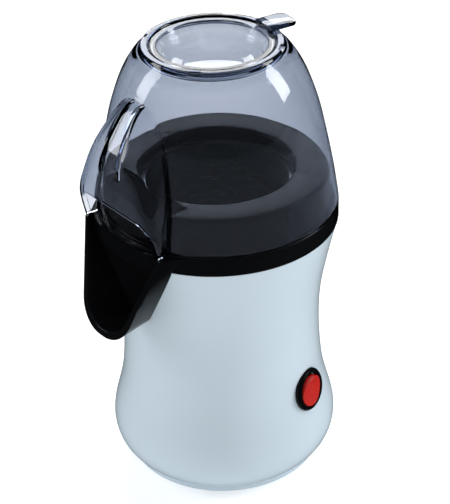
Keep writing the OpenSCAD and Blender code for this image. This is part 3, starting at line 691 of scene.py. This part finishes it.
def make_cover():
    """Dome of the cover with its rim, drawn out at the front into the hood."""
    heights = np.linspace(COVER_LOW + 0.3, RIM_Z, 84)
    radii = smoothed(outline_radii("smoked_cover", heights, 60))
    heights[0] = COVER_LOW
    outer = [(r, z, OUTSIDE) for r, z in zip(radii, heights)]
    neck = radii[-1]
    rim = rounded([
        (neck, RIM_Z, 0), (RIM_R + 0.6, RIM_TOP - 1.6, 1.0), (RIM_R - 0.2, RIM_TOP, 1.4),
        (SEAT_R, RIM_TOP, 1.4), (SEAT_R, SEAT_Z, 0.3), (RIM_INNER_R, SEAT_Z, 0.5),
        (RIM_INNER_R, SEAT_Z - 1.5, 0.5), (neck - COVER_WALL - 1.5, SEAT_Z - 1.5, 2.0),
        (neck - COVER_WALL, RIM_Z - 3, 0),
    ], closed=False, steps=6)
    inner = [(r - COVER_WALL, z, INSIDE) for r, z in zip(radii[::-1], heights[::-1]) if z < RIM_Z - 4]
    profile = outer + [(r, z, RIM) for r, z in rim[1:-1]] + inner
    fine = np.radians(np.arange(-52, 52, 0.55))
    coarse = np.radians(np.linspace(52, 308, 104, endpoint=False))
    phi = np.concatenate([fine, coarse])
    rows = []
    for r, z, kind in profile:
        reach = np.full_like(phi, r)
        if kind != RIM:
            inset = COVER_WALL if kind == INSIDE else 0.0
            reach = blend_max(reach, hood_reach(phi, np.full_like(phi, z), inset), CREASE)
        rows.append(np.stack([reach * np.sin(phi), -reach * np.cos(phi), 0 * phi + z], axis=-1))
    return grid_object("smoked_hood_cover", rows)


def mouth_outline():
    """Edge of the mouth's opening, as (x, height) points from the right foot to the left one."""
    half_w, top = MOUTH_HALF_W, MOUTH_TOP - COVER_WALL
    corners = [(half_w + 0.4, COVER_LOW - 6, 0), (half_w, top, MOUTH_R), (-half_w, top, MOUTH_R),
               (-half_w - 0.4, COVER_LOW - 6, 0)]
    return rounded(corners, closed=False, steps=16)


def mouth_y(z):
    """Where the leaning plane of the mouth is, at a height."""
    return -(MOUTH_Y + (z - COVER_LOW) * MOUTH_LEAN)


def slot_path(side):
    """Cutter of one long slot in the hood's front."""
    foot = (side * 8.5, 238)
    head = (side * 4.5, 276)
    points = []
    for (x, z), r, start in ((head, 1.6, 0), (foot, 2.1, math.pi)):
        for k in range(13):
            a = start + math.pi * k / 12
            points.append((x + r * math.cos(a), z + r * math.sin(a)))
    rows = [[(x, y, z) for x, z in points] for y in (0, -120)]
    return grid_object("slot", rows, wrap_rows=False)


cover = make_cover()
mouth_rows = [[(x, mouth_y(z) + shift, z) for x, z in mouth_outline()] for shift in MOUTH_CUT]
combine(cover, grid_object("mouth", mouth_rows, wrap_rows=False))
for side in (-1, 1):
    combine(cover, slot_path(side))
for a in NOTCH_ANGLES:
    box = prism("notch", [(RIM_R - 2.4, -4), (RIM_R + 4, -4), (RIM_R + 4, 4), (RIM_R - 2.4, 4)],
                RIM_TOP - 1.6, RIM_TOP + 4)
    combine(cover, placed(box, Matrix.Rotation(math.radians(a), 4, "Z")))
finish_piece(cover, "hooded_cover", SMOKED, "cover", ["smoked_cover"], 32)


def make_cup():
    """Shallow measuring cup with its flange and tab."""
    low = CUP_LOW
    flange_top = SEAT_Z + 2
    profile = rounded([
        (0, low, 0), (20, low + 0.6, 0), (27, low + 2.8, 3), (CUP_BEND_R, low + 6.4, 3),
        (CUP_SIDE_R, SEAT_Z - 4, 3),
        (CUP_TOP_R, SEAT_Z, 0.4), (CUP_FLANGE_R, SEAT_Z, 0.7), (CUP_FLANGE_R, flange_top, 0.9),
        (CUP_TOP_R - CUP_WALL, flange_top, 0.9), (CUP_SIDE_R - CUP_WALL, SEAT_Z - 4, 3),
        (CUP_BEND_R - CUP_WALL, low + 7.4, 3), (26, low + 4.4, 3), (19.6, low + 2.4, 2),
        (0, low + CUP_WALL, 0),
    ], steps=5)
    cup = lathe("cup", profile, 160)
    top, under = TAB_TOP, TAB_TOP - 2.2
    rows = []
    for z, inset in ((under, 0.7), (under + 0.2, 0.2), (under + 0.7, 0), (top - 0.7, 0),
                     (top - 0.2, 0.2), (top, 0.7)):
        w, reach = TAB_HALF_W - inset, TAB_REACH - inset
        outline = rounded([(w, CUP_TOP_R + 0.9, 0), (w, reach, 5 - inset), (-w, reach, 5 - inset),
                           (-w, CUP_TOP_R + 0.9, 0)], closed=True, steps=8)
        rows.append([(x, y, z) for x, y in outline])
    tab = grid_object("tab", rows, wrap_rows=False)
    web = prism("web", [(TAB_HALF_W - 0.4, 36.9), (TAB_HALF_W - 0.4, 37.9), (-TAB_HALF_W + 0.4, 37.9),
                        (-TAB_HALF_W + 0.4, 36.9)], flange_top - 0.8, under + 0.5)
    combine(tab, web, "UNION")
    placed(tab, Matrix.Rotation(TAB_TURN, 4, "Z"))
    return combine(cup, tab, "UNION")


finish_piece(make_cup(), "scoop_cup", CLEAR, "cup", ["measuring_cup"])


# ------------------------------------------------------------------ switch

ROCKER_R = 10.6
ROCKER_EDGE = 0.6
ROCKER_H = 2.4
ROCKER_DISH_R = 38
ROCKER_TILT = math.radians(7)


def make_bezel():
    """Round bezel with a rounded front edge."""
    profile = rounded([
        (BEZEL_HOLE_R, BEZEL_SEAT, 0.2), (BEZEL_R, BEZEL_SEAT, 0.2), (BEZEL_R, 1.0, 0.6),
        (BEZEL_R - 1.2, BEZEL_TOP, 0.7), (BEZEL_HOLE_R, BEZEL_TOP, 0.5),
    ], steps=6)
    return placed(lathe("bezel", profile, 96), SWITCH)


def make_rocker():
    """Round rocker, dished across its axis, with a rounded rim."""
    a = np.linspace(0, 2 * math.pi, 96, endpoint=False)
    rows = []
    flat = [(r, 0) for r in np.linspace(0, ROCKER_R - ROCKER_EDGE, 9)]
    bent = [(ROCKER_R - ROCKER_EDGE + ROCKER_EDGE * math.sin(t), ROCKER_EDGE * (1 - math.cos(t)))
            for t in np.linspace(0, math.pi / 2, 6)[1:]]
    for r, drop in flat + bent:
        rows.append((r, ROCKER_H + (r * np.cos(a)) ** 2 / (2 * ROCKER_DISH_R) - drop))
    rows += [(ROCKER_R, 0 * a + 0.3), (ROCKER_R - 0.3, 0 * a), (0, 0 * a)]
    grid = [np.stack([r * np.cos(a), r * np.sin(a), z + 0 * a], axis=-1) for r, z in rows]
    top = grid_object("rocker", grid)
    core = prism("core", [(-3, -6.5), (3, -6.5), (3, 6.5), (-3, 6.5)], -6.6, 0.2)
    combine(top, core, "UNION")
    hub = placed(lathe("hub", [(0, -10), (1.3, -10), (1.3, 10), (0, 10)], 32),
                 Matrix.Translation((0, 0, -3.6)) @ Matrix.Rotation(math.pi / 2, 4, "X"))
    combine(top, hub)
    tilt = Matrix.Translation((0, 0, -PIN_DEPTH)) @ Matrix.Rotation(ROCKER_TILT, 4, "Y")
    return placed(top, SWITCH @ tilt @ Matrix.Translation((0, 0, 3.6)))


finish_piece(make_bezel(), "bezel_ring", BLACK, "base", ["switch_bezel"])
finish_piece(make_rocker(), "rocker_button", RED, "rocker", ["switch_rocker"])


# ------------------------------------------------------------------ stage, lights and camera

def make_floor():
    """Plain paper floor, which reflections don't see."""
    far = 9000
    corners = [(-far, -far, 0), (far, -far, 0), (far, far, 0), (-far, far, 0)]
    floor = mesh_object("floor", corners, [(0, 1, 2, 3)])
    m, tree, shader = material("floor_paper", (0.9, 0.9, 0.9), 0.9)
    shader.inputs["Emission Color"].default_value = (1, 1, 1, 1)
    shader.inputs["Emission Strength"].default_value = 0.42
    tree.links.new(to_colours(tree, noise(tree, 3, 2), (0.88, 0.88, 0.88), (0.92, 0.92, 0.92)),
                   shader.inputs["Base Color"])
    floor.data.materials.append(m)
    floor.visible_glossy = False


def area_light(name, place, target, size, power):
    """Softbox at a place, aimed at a target, in metres and watts."""
    data = bpy.data.lights.new(name, "AREA")
    data.shape = "RECTANGLE"
    data.size, data.size_y = size
    data.energy = power
    light = bpy.data.objects.new(name, data)
    light.location = place
    light.rotation_mode = "QUATERNION"
    light.rotation_quaternion = (Vector(target) - Vector(place)).to_track_quat("-Z", "Y")
    light.visible_camera = False
    bpy.context.scene.collection.objects.link(light)


def make_world():
    """Pale even surroundings, which reflections don't see."""
    world = bpy.data.worlds.new("studio")
    bpy.context.scene.world = world
    world.use_nodes = True
    world.node_tree.nodes["Background"].inputs["Color"].default_value = (0.95, 0.98, 1, 1)
    world.node_tree.nodes["Background"].inputs["Strength"].default_value = 0.46
    world.cycles_visibility.glossy = False


SENSOR_MM = 36
PICTURE_HEIGHT = 504


def make_camera():
    """Camera at the wanted viewing angle; az is measured from -Y towards +X."""
    az, yaw, pitch, roll = (math.radians(a) for a in (52.3, 0.22, 31.45, -1.80))
    away, height, focal = 0.9922, 0.7561, 1776.5
    across = Vector((math.cos(az), math.sin(az), 0))
    inward = Vector((-math.sin(az), math.cos(az), 0))
    forward = (across * math.sin(yaw) + inward * math.cos(yaw)) * math.cos(pitch)
    forward -= Vector((0, 0, math.sin(pitch)))
    right = across * math.cos(yaw) - inward * math.sin(yaw)
    up = right.cross(forward)
    turned_right = right * math.cos(roll) + up * math.sin(roll)
    turned_up = up * math.cos(roll) - right * math.sin(roll)
    data = bpy.data.cameras.new("camera")
    data.sensor_width = SENSOR_MM
    data.lens = focal * SENSOR_MM / PICTURE_HEIGHT
    camera = bpy.data.objects.new("camera", data)
    bpy.context.scene.collection.objects.link(camera)
    m = Matrix((turned_right, turned_up, -forward)).transposed().to_4x4()
    m.translation = Vector((away * math.sin(az), -away * math.cos(az), height))
    camera.matrix_world = m
    bpy.context.scene.camera = camera


make_floor()
make_world()
make_camera()
area_light("top_box", (-0.1, 0.3, 1.9), (0, 0, 0.2), (1.6, 1.2), 5)
area_light("back_box", (-1.27, 0.98, 1.06), (0, 0, 0.25), (1.0, 0.5), 7)
area_light("left_box", (-1.1, -1.1, 0.9), (0, 0, 0.15), (0.5, 0.9), 8)
area_light("right_box", (0.9, 1.3, 0.9), (0, 0, 0.15), (0.5, 0.9), 13)
bpy.context.scene.view_settings.view_transform = "Standard"
